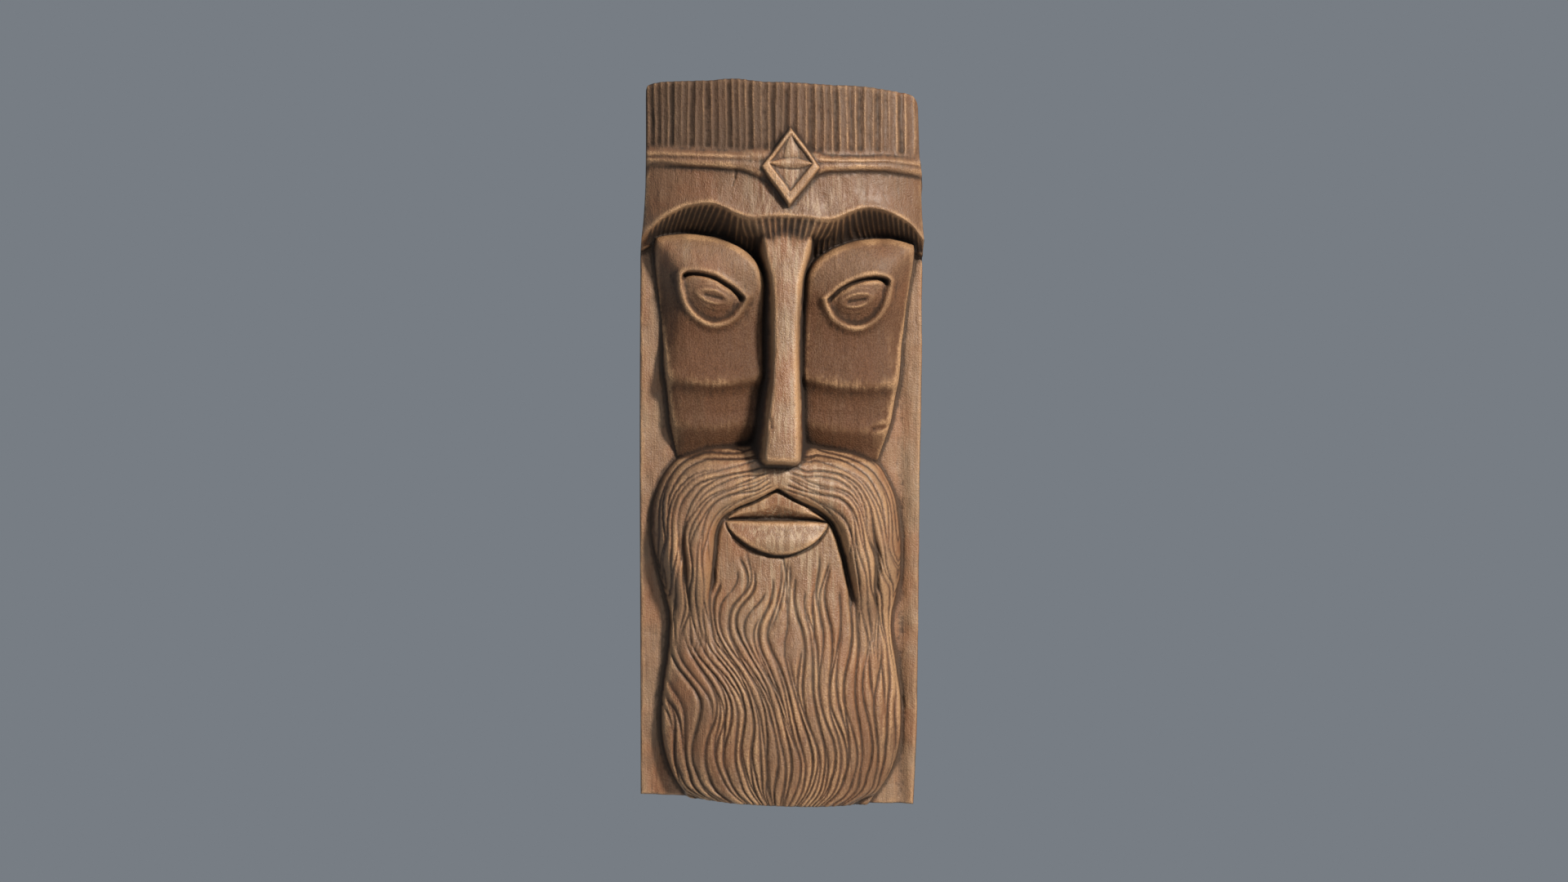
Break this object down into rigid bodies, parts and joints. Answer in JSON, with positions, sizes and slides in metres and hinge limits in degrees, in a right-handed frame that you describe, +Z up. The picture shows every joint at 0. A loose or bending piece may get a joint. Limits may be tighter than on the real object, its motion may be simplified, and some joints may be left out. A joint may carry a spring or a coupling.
{
  "type": "carved wall mask",
  "caption": "Tall wooden wall mask of a bearded idol-like head, carved in deep relief on one flat-backed board, with a fluted head band, hollow brow, long nose, moustache and wavy beard",
  "frame": {"origin": "the middle of the flat back, on the wall plane", "axes": "the face looks along -Y, the back lies on the plane y = 0 and faces +Y, +Z is up, +X is to the right of a person who looks at the face"},
  "size_m": [0.1363, 0.051, 0.3461],
  "materials": {
    "stained_wood": "hand-carved wood, brown stain darker in the cuts and rubbed golden on the ridges, satin wax"
  },
  "bodies": {
    "root": {"carved_mask": "stained_wood"}
  },
  "joints": []
}
